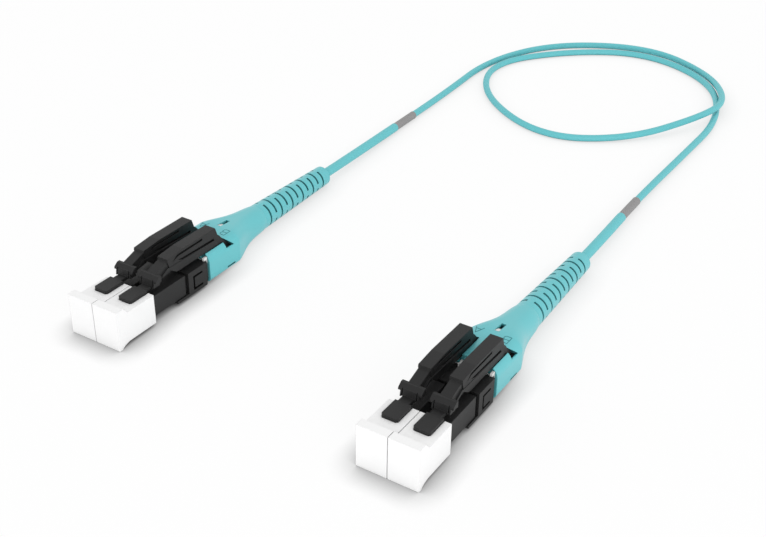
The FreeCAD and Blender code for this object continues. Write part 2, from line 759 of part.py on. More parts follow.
def boot(label):
    """Aqua boot: hollow block over the carrier, smooth blend, round tail with staggered slots."""
    body = new_body(label)
    top = size("boot_top")
    bottom = -size("boot_bottom")
    upper = size("boot_top_round")
    lower = size("boot_bottom_round")
    start = size("relief_start_radius")
    block = rounded_section(body, HALF_BOOT, top, bottom, upper, lower, BOOT_FRONT)
    extrude(body, "Pad", block, size("boot_block_length"), "against")
    sections = []
    for along, narrowed, sunk, rounded in BLEND_SHARES:
        section = rounded_section(
            body,
            between(HALF_BOOT, start, narrowed),
            between(top, start, sunk),
            between(bottom, -start, sunk),
            between(upper, start - 0.1, rounded),
            between(lower, start - 0.1, rounded),
            BLOCK_END - size("boot_blend_length") * along,
        )
        sections.append(section)
    loft = body.newObject("PartDesign::AdditiveLoft", "Blend")
    loft.Profile = sections[0]
    loft.Sections = sections[1:]
    body.Tip = loft
    end = size("relief_end_radius")
    soft = size("relief_end_round")
    tail = [
        (RELIEF_START + 0.4, 0),
        (RELIEF_START + 0.4, start),
        (RELIEF_START, start),
        (RELIEF_END + soft, end),
        (RELIEF_END, end - soft),
        (RELIEF_END, 0),
    ]
    sketch = outline(body, "XZ_Plane", tail, arcs={3: (soft, -1)})
    turn(body, "Revolution", sketch)
    hollow_boot(body)
    notch_low = bottom + size("boot_wall") + size("fit_gap")
    notch_back = BLOCK_END + size("side_notch_start")
    notch = rectangle(
        (notch_back, notch_low),
        (notch_back + size("side_notch_length"), notch_low + size("side_notch_height")),
    )
    extrude(body, "Pocket", outline(body, "XZ_Plane", notch), 2 * HALF_BOOT + 1)
    for side in (1, -1):
        lever_room(body, side)
    pitch = size("slot_pitch")
    first = RELIEF_START - size("slot_first")
    for plane, start_at, count in (("XY_Plane", first, 6), ("XZ_Plane", first - pitch, 5)):
        pattern = row_of(body, relief_slots(body, plane, start_at), pitch * (2 * count - 2), count)
        pattern.Reversed = True
    return body


def hollow_boot(body):
    """Space for the carrier, bore for crimp and cable, and the snap window in the top."""
    wall = size("boot_wall")
    roof = size("boot_top") - wall
    gap = size("fit_gap")
    floor = wall - size("boot_bottom")
    lower = size("boot_bottom_round") - wall
    section = (HALF_BOOT - wall, size("hollow_top"), floor, size("hollow_round"), lower)
    hollow = rounded_section(body, *section, HOLLOW_END)
    extrude(body, "Pocket", hollow, size("boot_block_length"), "along")
    channel = rectangle((BLOCK_END - 4.3, 0), (BOOT_FRONT + 1, roof))
    extrude(body, "Pocket", outline(body, "XZ_Plane", channel), size("carrier_beam") + 2 * gap)
    crimp_end = RELIEF_START - size("crimp_setback")
    bore = [
        (HOLLOW_END + 1, 0),
        (HOLLOW_END + 1, size("crimp_bore_radius")),
        (crimp_end, size("crimp_bore_radius")),
        (crimp_end, size("tail_bore_radius")),
        (RELIEF_END - 1, size("tail_bore_radius")),
        (RELIEF_END - 1, 0),
    ]
    turned_profile(body, "Groove", bore)
    window_front = BLOCK_END - size("window_start")
    half_window = size("window_width") / 2
    window = rectangle((window_front - size("window_length"), -half_window), (window_front, half_window))
    extrude(body, "Pocket", outline(body, "XY_Plane", window, offset=roof - wall), 2 * wall, "along")


def lever_room(body, side):
    """Room for one lever: a trough under it, then a hole for its tail, and a notch open to the side for
    the foot, which sinks into a pocket of the wall when the lever is pressed. The rear wall of hole and
    notch leans forward over the tail."""
    inner = HALF_PITCH - size("lever_width") / 2 - size("trough_gap")
    outer = HALF_PITCH + size("lever_width") / 2 + size("trough_gap")
    foot_out = HALF_PITCH + FOOT_OUT + size("foot_gap")
    top = size("boot_top")
    above = top + 1
    back = HOLLOW_END + size("fit_gap")
    notch_front = back + size("notch_length")
    trough_back = BOOT_FRONT - size("trough_length")
    lean_low = size("tail_top") + size("foot_gap") + size("fit_gap")
    lean_end = back + size("notch_slope") * (above - lean_low) / (top - lean_low)
    flat_cuts = (
        (trough_back, BOOT_FRONT + 1, outer, size("trough_floor"), above),
        (back, notch_front, foot_out, size("foot_pocket_low"), lean_low),
    )
    for rear, front, reach, floor, roof in flat_cuts:
        corners = rectangle((rear, side * inner), (front, side * reach))
        extrude(body, "Pocket", outline(body, "XY_Plane", corners, offset=floor), roof - floor, "along")
    leaning_cuts = (
        (trough_back + 0.1, outer, size("foot_pocket_low")),
        (notch_front, HALF_BOOT + 1, size("notch_floor")),
    )
    for front, reach, floor in leaning_cuts:
        corners = [(back, floor), (front, floor), (front, above), (lean_end, above), (back, lean_low)]
        sketch = outline(body, "XZ_Plane", corners, offset=(inner + reach) / 2 * -side)
        extrude(body, "Pocket", sketch, reach - inner)


def carrier(label):
    """White frame inside the boot: front wall that traps the spring seats, rib, beam and snap tooth."""
    body = new_body(label)
    gap = size("fit_gap")
    wall = size("boot_wall")
    floor = -size("boot_bottom") + wall + 2 * gap
    half = HALF_BOOT - wall - 2 * gap
    wall_front = SHOULDER_BACK - gap
    wall_back = wall_front - size("carrier_wall")
    wall_top = size("hollow_top") - gap
    floor_end = HOLLOW_END + gap
    roof = size("boot_top") - wall - gap
    beam_low = roof - 1.1
    lower = size("boot_bottom_round") - wall
    front_wall = rounded_section(body, half, wall_top, floor, size("hollow_round"), lower, wall_back)
    extrude(body, "Pad", front_wall, size("carrier_wall"), "along")
    base = rectangle((floor_end, floor), (wall_back + gap, floor + size("carrier_floor")))
    extrude(body, "Pad", outline(body, "XZ_Plane", base), 2 * half)
    rib = rectangle((floor_end, floor + gap), (wall_front - gap, beam_low + gap))
    extrude(body, "Pad", outline(body, "XZ_Plane", rib), size("carrier_rib"))
    tooth_front = BLOCK_END - size("window_start") - gap
    tooth_back = tooth_front - size("tooth_length")
    beam = rectangle((tooth_back, beam_low), (wall_front, roof))
    extrude(body, "Pad", outline(body, "XZ_Plane", beam), size("carrier_beam"))
    tooth = [
        (tooth_back, roof - gap),
        (tooth_front, roof - gap),
        (tooth_front, roof + wall + gap),
        (tooth_back, roof + wall / 2),
    ]
    extrude(body, "Pad", outline(body, "XZ_Plane", tooth), size("window_width") - 2 * gap)
    tab_low = size("collar_top") + gap
    tab_high = tab_low + size("tab_height")
    tab_back = BOOT_FRONT + gap
    tab_root = wall_top - size("hollow_round") / 2
    beside_lever = size("lever_width") / 2 + size("tab_gap") + size("tab_width") / 2
    tabs = (
        (HALF_PITCH + beside_lever, size("tab_length")),
        (HALF_PITCH - beside_lever, size("inner_tab_length")),
    )
    for side in (1, -1):
        for middle, length in tabs:
            tab = [
                (tab_back, tab_root),
                (wall_front, tab_root),
                (wall_front, tab_low),
                (tab_back + length, tab_low),
                (tab_back + length, tab_high),
                (tab_back, tab_high),
            ]
            sketch = outline(body, "XZ_Plane", tab, offset=middle * -side)
            extrude(body, "Pad", sketch, size("tab_width"))
        hole = circle(
            body, "YZ_Plane", size("seat_tube_radius") + 2 * gap, (HALF_PITCH * side, 0), wall_back - 1
        )
        extrude(body, "Pocket", hole, size("carrier_wall") + 2, "along")
    return body


def crimp_ring(label):
    """Brass ring that grips the end of the cable."""
    body = new_body(label)
    back = RELIEF_START - size("crimp_setback") + size("fit_gap")
    front = back + size("crimp_length")
    bore = size("sleeve_radius") + size("fit_gap")
    profile = rectangle((back, bore), (front, size("crimp_radius")))
    turned_profile(body, "Revolution", profile)
    return body


# ---------------------------------------------------------------- swept pieces
def rounded_route(points):
    """Straight runs joined by arcs that are tangent to both. Returns the edges and the arc radii."""
    edges = []
    radii = []
    reached = points[0]
    for before, corner, after in zip(points, points[1:], points[2:]):
        inward = (before - corner).normalize()
        outward = (after - corner).normalize()
        turning = math.pi - inward.getAngle(outward)
        shorter = min((corner - before).Length, (after - corner).Length)
        trim = 0.45 * shorter
        radius = trim / math.tan(turning / 2)
        radii.append(radius)
        start = corner + inward * trim
        stop = corner + outward * trim
        centre = corner + (inward + outward).normalize() * (radius / math.cos(turning / 2))
        middle = centre + (corner - centre).normalize() * radius
        edges.append(Part.LineSegment(reached, start).toShape())
        edges.append(Part.Arc(start, middle, stop).toShape())
        reached = stop
    edges.append(Part.LineSegment(reached, points[-1]).toShape())
    return edges, radii


def cut_route(edges, start, stop):
    """The stretch of a route between two distances along it."""
    kept = []
    walked = 0.0
    for edge in edges:
        low = max(start - walked, 0.0)
        high = min(stop - walked, edge.Length)
        if high - low > 1e-6:
            first = edge.getParameterByLength(low)
            last = edge.getParameterByLength(high)
            kept.append(edge.Curve.toShape(first, last))
        walked += edge.Length
    return kept


def tube(label, edges, outer, inner=None):
    """Round tube or rod along a route."""
    wire = Part.Wire(edges)
    start = edges[0].valueAt(edges[0].FirstParameter)
    heading = edges[0].tangentAt(edges[0].FirstParameter)

    def sweep(radius):
        ring = Part.Wire(Part.makeCircle(radius, start, heading))
        return wire.makePipeShell([ring], True, False)

    solid = sweep(outer) if inner is None else sweep(outer).cut(sweep(inner))
    feature = doc.addObject("Part::Feature", label)
    feature.Label = label
    feature.Shape = solid
    return feature


def fibre(label, side):
    """Buffered fibre to the end of the cable, drawn towards the middle of the boot. It starts where
    the ferrule ends when that is pushed right back."""
    out = side * size("plug_pitch").value / 2
    near = side * 0.5
    last = -size("cable_start").value + 0.1
    points = [
        Vector((FERRULE_END - size("ferrule_travel")).value - 0.05, out, 0),
        Vector(-25, out, 0),
        Vector(-30.5, side * 1.2, -0.7),
        Vector(-37, near, 0),
        Vector(last, near, 0),
    ]
    edges, _ = rounded_route(points)
    return tube(label, edges, size("buffer_radius").value)


# ---------------------------------------------------------------- how the connectors lie on the floor
LIP_HEEL = Vector((size("cap_reach") - size("cap_heel_length")).value, 0, -size("cap_lip_bottom").value)
TAIL_REST = Vector(RELIEF_START.value, 0, -size("relief_start_radius").value)
TILT = math.atan2(TAIL_REST.z - LIP_HEEL.z, LIP_HEEL.x - TAIL_REST.x)
LYING = Rotation(Vector(0, 0, 1), -90).multiply(Rotation(Vector(0, 1, 0), -math.degrees(TILT)))
REACH = size("cap_reach").value * math.cos(TILT) - LIP_HEEL.z * math.sin(TILT)
TRAIL = -RELIEF_END.value * math.cos(TILT)
NOSE_HEIGHT = -LYING.multVec(LIP_HEEL).z


def connector_place(side):
    """Placement of a connector: side -1 for a, +1 for b."""
    stagger = size("connector_stagger").value
    middle = (REACH - TRAIL) / 2
    return Placement(
        Vector(side * size("connector_spread").value / 2, middle - side * stagger / 2, NOSE_HEIGHT), LYING
    )


PLACE_A = connector_place(-1)
PLACE_B = connector_place(1)


def cord_route():
    """Corner points of the cable from inside boot a to inside boot b, on the floor, with one loop."""
    cable_end = -size("cable_start").value
    lying = [
        (-33.935, 41.4, 2.3),
        (-34.8, 71.5, 1.15),
        (-34.9, 99.0, 0.87),
        (-36.0, 125.9, 0.85),
        (-24.6, 148.6, 0.85),
        (0.2, 160.3, 0.85),
        (21.8, 150.2, 1.0),
        (33.4, 130.9, 3.0),
        (31.1, 117.6, 3.0),
        (18.3, 98.5, 0.9),
        (-1.4, 88.2, 0.85),
        (-26.0, 103.4, 0.85),
        (-34.5, 125.2, 0.85),
        (-18.6, 145.4, 0.85),
        (1.7, 155.8, 0.85),
        (25.0, 145.0, 0.85),
        (34.3, 122.5, 0.85),
        (33.6, 97.5, 0.87),
        (32.9, 69.8, 1.15),
        (33.935, 39.2, 2.3),
    ]
    first = PLACE_A.multVec(Vector(cable_end, 0, 0))
    last = PLACE_B.multVec(Vector(cable_end, 0, 0))
    return [first] + [Vector(*point) for point in lying] + [last]


# ---------------------------------------------------------------- assembly
pieces = []


def keep(piece, placement):
    piece.Placement = placement
    pieces.append(piece)


for end, place in (("a", PLACE_A), ("b", PLACE_B)):
    for name, side in (("left", 1), ("right", -1)):
        on_axis = place.multiply(Placement(Vector(0, side * size("plug_pitch").value / 2, 0), Rotation()))
        stem = f"{end}_{name}_"
        keep(plug_housing(stem + "plug_housing"), on_axis)
        keep(plug_collar(stem + "collar"), on_axis)
        keep(latch(stem + "latch", side), on_axis)
        keep(dust_cap(stem + "dust_cap"), on_axis)
        keep(ferrule(stem + "ferrule"), on_axis)
        keep(ferrule_flange(stem + "ferrule_flange"), on_axis)
        keep(spring(stem + "spring"), on_axis)
        keep(spring_seat(stem + "spring_seat"), on_axis)
        keep(fibre(stem + "fibre", side), place)
    keep(boot(f"{end}_boot"), place)
    keep(carrier(f"{end}_carrier"), place)
    keep(crimp_ring(f"{end}_crimp_ring"), place)

route, bend_radii = rounded_route(cord_route())
route_length = sum(edge.Length for edge in route)
print("cord: length", round(route_length, 1), "bend radii", [round(radius, 1) for radius in bend_radii])
sleeve_bore = size("cord_radius").value + size("sleeve_gap").value
band = size("band_length").value
for end, alias in (("a", "sleeve_a_length"), ("b", "sleeve_b_length")):
    length = size(alias).value
    if end == "a":
        sleeve_edges = cut_route(route, 0, length)
        band_edges = cut_route(route, length, length + band)
    else:
        sleeve_edges = cut_route(route, route_length - length, route_length)
        band_edges = cut_route(route, route_length - length - band, route_length - length)
    keep(tube(f"{end}_cable_sleeve", sleeve_edges, size("sleeve_radius").value, sleeve_bore), Placement())
    keep(tube(f"{end}_marker_band", band_edges, size("band_radius").value, sleeve_bore), Placement())
keep(tube("cord", route, size("cord_radius").value), Placement())

doc.recompute()
os.makedirs("parts", exist_ok=True)
for piece in pieces:
    shape = piece.Shape
    if "Invalid" in piece.State or "Error" in piece.State:
        raise RuntimeError(f"{piece.Label}: {piece.State}")
    if shape.isNull() or not shape.isValid() or len(shape.Solids) != 1:
        raise RuntimeError(f"{piece.Label}: bad shape, {len(shape.Solids)} solids")
    shape.exportStep(f"parts/{piece.Label}.step")
print(len(pieces), "pieces")
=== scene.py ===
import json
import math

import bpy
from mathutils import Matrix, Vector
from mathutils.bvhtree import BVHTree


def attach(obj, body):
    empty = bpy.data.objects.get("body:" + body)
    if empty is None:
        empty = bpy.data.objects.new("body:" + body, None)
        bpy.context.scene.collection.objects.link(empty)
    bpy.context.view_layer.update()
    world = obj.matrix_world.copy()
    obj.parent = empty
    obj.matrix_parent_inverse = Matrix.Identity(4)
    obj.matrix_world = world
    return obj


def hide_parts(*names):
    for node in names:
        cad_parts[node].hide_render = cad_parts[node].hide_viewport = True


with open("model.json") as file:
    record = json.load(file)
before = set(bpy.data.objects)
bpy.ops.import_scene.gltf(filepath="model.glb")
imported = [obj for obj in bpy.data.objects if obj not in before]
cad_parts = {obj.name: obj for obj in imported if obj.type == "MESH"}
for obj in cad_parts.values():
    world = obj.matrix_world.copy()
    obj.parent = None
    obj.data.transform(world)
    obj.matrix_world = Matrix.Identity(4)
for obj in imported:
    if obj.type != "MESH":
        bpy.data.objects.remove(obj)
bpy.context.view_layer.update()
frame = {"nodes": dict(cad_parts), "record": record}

# %% [markdown]
# # A duplex LC fibre patch cord
# The object is an optical patch cord: two connectors, each with two capped plugs in one aqua
# boot, joined by one round aqua cable that lies on a table with a single loop. The rigid pieces
# come from the CAD model as finished meshes. What is left for this file is what CAD doesn't
# give: the finish of every moulding, the cable as one smooth flexible line, the light and the
# view.

MM = 0.001
record = frame["record"]


def metres(place):
    """A place given in millimetres, in Blender's metres."""
    return [part * MM for part in place]


# %% [markdown]
# ## Camera
# The view is from the front right, a little over thirty degrees above the table, from about a
# quarter of a metre away. That is close for an object this small, so the near connector looks
# clearly larger than the far one. A long lens from further off would lose that, and a wide lens
# closer in would bend the caps, so the camera stands at the true distance with a lens to match.

# %% Camera
CAMERA_PLACE = (112.21, -163.20, 134.06)
CAMERA_TURN = (57.613, 0.0, 32.577)
CAMERA_LENS = 55.494
CAMERA_SENSOR = 36.0
CAMERA_NEAR = 10.0
CAMERA_FAR = 10000.0

camera_data = bpy.data.cameras.new("view")
camera_data.sensor_width = CAMERA_SENSOR
camera_data.lens = CAMERA_LENS
camera_data.clip_start = CAMERA_NEAR * MM
camera_data.clip_end = CAMERA_FAR * MM
camera = bpy.data.objects.new("view", camera_data)
camera.location = metres(CAMERA_PLACE)
camera.rotation_euler = [math.radians(angle) for angle in CAMERA_TURN]
bpy.context.scene.collection.objects.link(camera)
bpy.context.scene.camera = camera
print("camera at", tuple(camera.location), "lens", camera_data.lens)

# %% [markdown]
# ## The cable
# The real cable is a soft round jacket over two fibres. It leaves one boot, sinks to the table,
# runs round one loop, passes once over itself and climbs into the other boot. It could be a mesh
# tube, but a curve with a round bevel keeps one clean line that stays easy to edit. A NURBS
# spline of order three turns a short list of given points into bends that change smoothly,
# as a springy cable does. The two points at the top of the hump lie one each side of the
# crossing.

# %% The cable's route, in millimetres
CORD_RADIUS = 0.85
CORD_POINTS = [
    (-33.935, 11.79, 3.02),
    (-33.935, 41.4, 2.3),
    (-34.8, 71.5, 1.15),
    (-34.9, 99.0, 0.87),
    (-36.0, 125.9, 0.85),
    (-24.6, 148.6, 0.85),
    (0.2, 160.3, 0.85),
    (21.8, 150.2, 1.0),
    (33.4, 130.9, 3.0),
    (31.1, 117.6, 3.0),
    (18.3, 98.5, 0.9),
    (-1.4, 88.2, 0.85),
    (-26.0, 103.4, 0.85),
    (-34.5, 125.2, 0.85),
    (-18.6, 145.4, 0.85),
    (1.7, 155.8, 0.85),
    (25.0, 145.0, 0.85),
    (34.3, 122.5, 0.85),
    (33.6, 97.5, 0.87),
    (32.9, 69.8, 1.15),
    (33.935, 39.2, 2.3),
    (33.935, 9.4, 3.02),
]
print("points on the cable:", len(CORD_POINTS))

# %% [markdown]
# ## From a route to a round jacket
# A bevelled curve can take its thickness from the bevel or from the radius of each point.
# Blender also counts a point's radius when it measures the curve's box, and that radius is a
# whole metre until told otherwise. So the bevel stays at one and every point carries the cable's
# true radius, which keeps the box as tight as the cable itself.

# %% Round cable
SPLINE_ORDER = 3
ROUND_STEPS = 6
STEPS_ALONG = 24


def cable_line(name, points, radius):
    """A round cable along one open NURBS spline, in millimetres."""
    curve = bpy.data.curves.new(name, "CURVE")
    curve.dimensions = "3D"
    curve.bevel_depth = 1.0
    curve.bevel_resolution = ROUND_STEPS
    curve.use_fill_caps = True
    spline = curve.splines.new("NURBS")
    spline.points.add(len(points) - 1)
    for point, place in zip(spline.points, points):
        point.co = (*metres(place), 1.0)
        point.radius = radius * MM
    spline.order_u = SPLINE_ORDER
    spline.use_endpoint_u = True
    spline.resolution_u = STEPS_ALONG
    line = bpy.data.objects.new(name, curve)
    bpy.context.scene.collection.objects.link(line)
    return line


cable = cable_line("cable", CORD_POINTS, CORD_RADIUS)
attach(cable, "cord_set")
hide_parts("cord")
print("cable laid:", cable.name)

# %% [markdown]

# %% [markdown]
# ## Small tools for shader nodes
# An effect that several materials use is worth a node group: it is built once, has named inputs
# and outputs, and each material places it with its own values. Wiring nodes one link at a time
# makes long, dull code, so these helpers make a node and fill its inputs in one statement. An
# input is either a plain value or the output of another node.

# %% Node helpers


def fill(tree, node, inputs):
    """Fill a node's inputs, each with a plain value or with a link from another node's output."""
    for key, value in inputs.items():
        if isinstance(value, bpy.types.NodeSocket):
            tree.links.new(value, node.inputs[key])
        else:
            node.inputs[key].default_value = value


def add(tree, kind, inputs=None, **settings):
    """One node with its plain settings and its inputs."""
    node = tree.nodes.new(kind)
    for key, value in settings.items():
        setattr(node, key, value)
    fill(tree, node, inputs or {})
    return node


def math_node(tree, operation, *inputs):
    """The result of one sum on values."""
    return add(tree, "ShaderNodeMath", dict(enumerate(inputs)), operation=operation).outputs[0]


def scaled(tree, vector, factor):
    """A vector or colour times a value."""
    inputs = {0: vector, "Scale": factor}
    return add(tree, "ShaderNodeVectorMath", inputs, operation="SCALE").outputs[0]


def mixed(tree, factor, below, above):
    """One colour laid over another as far as the factor says."""
    inputs = {"Factor": factor, "A": below, "B": above}
    return add(tree, "ShaderNodeMix", inputs, data_type="RGBA").outputs["Result"]


def new_group(name, inputs, outputs):
    """A group with named sockets, (name, kind, default) in and (name, kind) out, and its input."""
    group = bpy.data.node_groups.new(name, "ShaderNodeTree")
    for label, kind, default in inputs:
        socket = group.interface.new_socket(label, in_out="INPUT", socket_type=kind)
        socket.default_value = default
    for label, kind in outputs:
        group.interface.new_socket(label, in_out="OUTPUT", socket_type=kind)
    return group, group.nodes.new("NodeGroupInput").outputs


print("helpers:", fill.__name__, add.__name__, mixed.__name__, new_group.__name__)

# %% [markdown]
# ## Mould grain
# No moulded plastic is perfectly even, because the mould is spark-eroded to a fine texture and
# the colour never mixes quite evenly. Real bumps would take millions of faces, so two sizes of
# noise make them in the material: the fine one gives a height, and the broad one lets the tint
# and the gloss wander a little.

# %% Grain group
FINE_GRAIN = 9000.0
BROAD_GRAIN = 260.0
GRAIN_DETAIL = 3.0
NOISE_MIDDLE = 0.5


def noise(tree, vector, scale):
    """Soft noise between nought and one, with so many waves to a metre."""
    inputs = {"Vector": vector, "Scale": scale, "Detail": GRAIN_DETAIL}
    return add(tree, "ShaderNodeTexNoise", inputs).outputs["Fac"]


def grain_group():
    """Fine mould grain: a height, and a colour that wanders a little about the tint."""
    group, start = new_group(
        "mould_grain",
        [("Tint", "NodeSocketColor", (0.5, 0.5, 0.5, 1.0)), ("Spread", "NodeSocketFloat", 0.06)],
        [
            ("Colour", "NodeSocketColor"),
            ("Height", "NodeSocketFloat"),
            ("Patch", "NodeSocketFloat"),
        ],
    )
    place = add(group, "ShaderNodeTexCoord").outputs["Object"]
    broad = noise(group, place, BROAD_GRAIN)
    centred = math_node(group, "SUBTRACT", broad, NOISE_MIDDLE)
    wander = math_node(group, "MULTIPLY_ADD", centred, start["Spread"], 1.0)
    add(group, "NodeGroupOutput", {
        "Colour": scaled(group, start["Tint"], wander),
        "Height": noise(group, place, FINE_GRAIN),
        "Patch": broad,
    })
    return group


GRAIN = grain_group()
print("node group:", GRAIN.name)

# %% [markdown]
# ## Soft edges
# The corners of a moulding are never knife sharp: each catches a thin line of light. The Bevel
# node gives the normal that a rounded corner would have. Where that differs from the true normal
# there is an edge, so one comparison finds the edges and softens them at once. The same mask
# lays a paler line of painted highlight along each edge in the finish.

# %% Edge group
EDGE_SAMPLES = 6
EDGE_STARTS = 0.995
EDGE_FULL = 0.8


def edge_group():
    """Rounded normal at edges, and a mask that is one along them."""
    group, start = new_group(
        "soft_edge",
        [("Radius", "NodeSocketFloat", 0.0001)],
        [("Normal", "NodeSocketVector"), ("Edge", "NodeSocketFloat")],
    )
    radius = {"Radius": start["Radius"]}
    rounded = add(group, "ShaderNodeBevel", radius, samples=EDGE_SAMPLES).outputs[0]
    both = {0: rounded, 1: add(group, "ShaderNodeNewGeometry").outputs["Normal"]}
    same = add(group, "ShaderNodeVectorMath", both, operation="DOT_PRODUCT").outputs["Value"]
    mask = {"Value": same, "From Min": EDGE_STARTS, "From Max": EDGE_FULL}
    add(group, "NodeGroupOutput", {
        "Normal": rounded,
        "Edge": add(group, "ShaderNodeMapRange", mask).outputs[0],
    })
    return group


EDGE = edge_group()
print("node group:", EDGE.name)

# %% [markdown]
# ## Painted shade in crevices
# The slots of the strain relief, the narrow space behind a collar and the seam between two caps
# look darker than the faces beside them, because little light finds its way in. The light alone
# does some of it. The rest is painted shade: an ambient occlusion mask measures how much of the
# view from a spot is blocked within a short reach, and the finish darkens the colour there.

# %% Crevice group
CREVICE_SAMPLES = 8


def crevice_shade_group():
    """A mask for painted shade: one in narrow gaps and inner corners, where little light gets in.
    """
    group, start = new_group(
        "crevice_shade",
        [
            ("Reach", "NodeSocketFloat", 0.001),
            ("Open", "NodeSocketFloat", 0.75),
            ("Closed", "NodeSocketFloat", 0.2),
        ],
        [("PaintedShade", "NodeSocketFloat")],
    )
    reach = {"Distance": start["Reach"]}
    covered = add(group, "ShaderNodeAmbientOcclusion", reach, samples=CREVICE_SAMPLES)
    mask = {
        "Value": covered.outputs["AO"],
        "From Min": start["Open"],
        "From Max": start["Closed"],
    }
    painted_shade = add(group, "ShaderNodeMapRange", mask).outputs[0]
    add(group, "NodeGroupOutput", {"PaintedShade": painted_shade})
    return group


CREVICE_SHADE = crevice_shade_group()
print("node group:", CREVICE_SHADE.name)

# %% [markdown]
# ## One recipe for every finish
# Plugs, caps, boots and jackets are all moulded or extruded plastics, and the rest are small
# turned metal pieces. They differ in colour, gloss and grain, and hardly in kind. So one recipe
# makes them all. It starts from the grain's colour, lays a paler one along the edges as a painted
# highlight and a darker one in the crevices as painted shade, lets the gloss wander with the
# grain, and gives the surface the grain's fine relief.

# %% Finish recipe
COAT_ROUGHNESS = 0.25
GLOSS_WANDER = 0.05
GRAIN_DEPTH = 0.02
CREVICE_SPAN = 0.5


def shaded(tint, factor):
    """A tint made paler or darker, as a colour for a socket."""
    return (*[min(part * factor, 1.0) for part in tint], 1.0)


def finish(
    name, tint, rough,
    metallic=0.0, shine=0.5, coat=0.0,
    spread=0.06, bump=0.05,
    edge_radius=0.12, edge_highlight=1.15,
    reach=0.8, shade=0.6, closed=0.2,
):
    """A plastic or metal, with grain, a painted highlight on soft corners, painted shade in
    crevices.
    """
    material = bpy.data.materials.new(name)
    material.use_nodes = True
    tree = material.node_tree
    grain = add(
        tree, "ShaderNodeGroup", {"Tint": (*tint, 1.0), "Spread": spread}, node_tree=GRAIN,
    ).outputs
    edge = add(tree, "ShaderNodeGroup", {"Radius": edge_radius * MM}, node_tree=EDGE).outputs
    hollow = {"Reach": reach * MM, "Open": closed + CREVICE_SPAN, "Closed": closed}
    painted_shade = add(tree, "ShaderNodeGroup", hollow, node_tree=CREVICE_SHADE).outputs["PaintedShade"]
    gloss = {
        "Value": grain["Patch"],
        "To Min": rough - GLOSS_WANDER,
        "To Max": rough + GLOSS_WANDER,
    }
    relief = {
        "Strength": bump,
        "Distance": GRAIN_DEPTH * MM,
        "Height": grain["Height"],
        "Normal": edge["Normal"],
    }
    # Painted highlight: a paler tint along the edges. Painted shade: a darker tint in the
    # crevices.
    paler = mixed(tree, edge["Edge"], grain["Colour"], shaded(tint, edge_highlight))
    fill(tree, tree.nodes["Principled BSDF"], {
        "Base Color": mixed(tree, painted_shade, paler, shaded(tint, 1.0 - shade)),
        "Metallic": metallic,
        "Roughness": add(tree, "ShaderNodeMapRange", gloss).outputs[0],
        "Normal": add(tree, "ShaderNodeBump", relief).outputs["Normal"],
        "Specular IOR Level": shine,
        "Coat Weight": coat,
        "Coat Roughness": COAT_ROUGHNESS,
    })
    return material


print("recipe:", finish.__name__)

# %% [markdown]
# ## The finishes
# The plugs are matt black nylon, which reflects little and shows a paler line of painted
# highlight on its corners. The dust caps are soft white and nearly even. The boots are satin aqua,
# with slots that go dark under painted shade, and the jackets are the same aqua with less gloss.
# Ceramic, nickel, steel and brass belong to the small pieces inside, of which only the ferrules
# show once the caps are off.

# %% Finishes
FINISHES = {
    "black_plastic": finish(
        "matt_black_nylon", (0.013, 0.013, 0.0132), 0.5, bump=0.35, edge_highlight=1.8, shine=0.3),
    "white_cap": finish(
        "soft_white_cap", (0.9, 0.9, 0.9), 0.55, spread=0.02, edge_highlight=1.03, shade=0.2),
    "zirconia": finish(
        "polished_ceramic", (0.86, 0.85, 0.80), 0.12, spread=0.01, bump=0.0, coat=0.3),
    "nickel": finish("nickel_plate", (0.72, 0.70, 0.66), 0.25, metallic=1.0, spread=0.03),
    "spring_steel": finish(
        "drawn_wire", (0.60, 0.60, 0.62), 0.3, metallic=1.0, edge_radius=0.03),
    "seat_metal": finish("turned_steel", (0.66, 0.66, 0.66), 0.3, metallic=1.0),
    "fibre_buffer": finish("clear_buffer", (0.82, 0.83, 0.80), 0.3, spread=0.02, bump=0.0),
    "aqua_boot": finish(
        "aqua_boot_moulding", (0.125, 0.52, 0.56), 0.3, spread=0.04, bump=0.12, edge_highlight=1.2,
        shine=0.45, reach=0.9, shade=0.62, closed=0.42),
    "white_frame": finish("white_frame_moulding", (0.75, 0.76, 0.75), 0.45, spread=0.02),
    "brass_ring": finish("brass", (0.75, 0.56, 0.27), 0.3, metallic=1.0),
    "aqua_sleeve": finish(
        "aqua_sleeve_jacket", (0.13, 0.525, 0.565), 0.45, spread=0.05, edge_radius=0.05,
        shine=0.3),
    "grey_band": finish(
        "grey_shrink_band", (0.26, 0.255, 0.255), 0.55, spread=0.1, edge_radius=0.05),
    "aqua_cord": finish(
        "aqua_cable_jacket", (0.13, 0.52, 0.56), 0.45, spread=0.05, edge_radius=0.05, shine=0.3),
}
print("finishes:", len(FINISHES))

# %% [markdown]
# ## Finishes on the pieces
# The CAD model already says which material each piece is made of. So nothing is painted by hand:
# every piece takes the finish of its own material, and the cable takes the jacket's.

# %% Put the finishes on
for entry in record["subparts"]:
    piece = frame["nodes"][entry["node"]]
    piece.data.materials.clear()
    piece.data.materials.append(FINISHES[entry["material_slot"]])
cable.data.materials.append(FINISHES["aqua_cord"])
print("pieces finished:", len(record["subparts"]) + 1)

# %% [markdown]
# ## A connector's own axes
# A connector doesn't lie level: it rests on the lower lips of its caps and on the thick end of
# its strain relief, so its axis dips a little towards the cable. A mark on the boot is easier to
# place along that axis than along the room's. The mount at the plugs' noses gives both a
# starting place and the direction in which the plugs point, and one cross product gives the way
# up.

# %% Connector axes
SIDEWAYS = Vector((1.0, 0.0, 0.0))
NOSES = {mount["name"][-1]: Vector(mount["pos_m"]) for mount in record["mounts"]}
AHEAD = {mount["name"][-1]: Vector(mount["axis"]) for mount in record["mounts"]}
UPWARD = {end: AHEAD[end].cross(SIDEWAYS) for end in AHEAD}


def in_world(end, forward, side, up):
    """A point given in millimetres along a connector's own axes, as a point of the scene."""
    steps = AHEAD[end] * forward + SIDEWAYS * side + UPWARD[end] * up
    return NOSES[end] + steps * MM


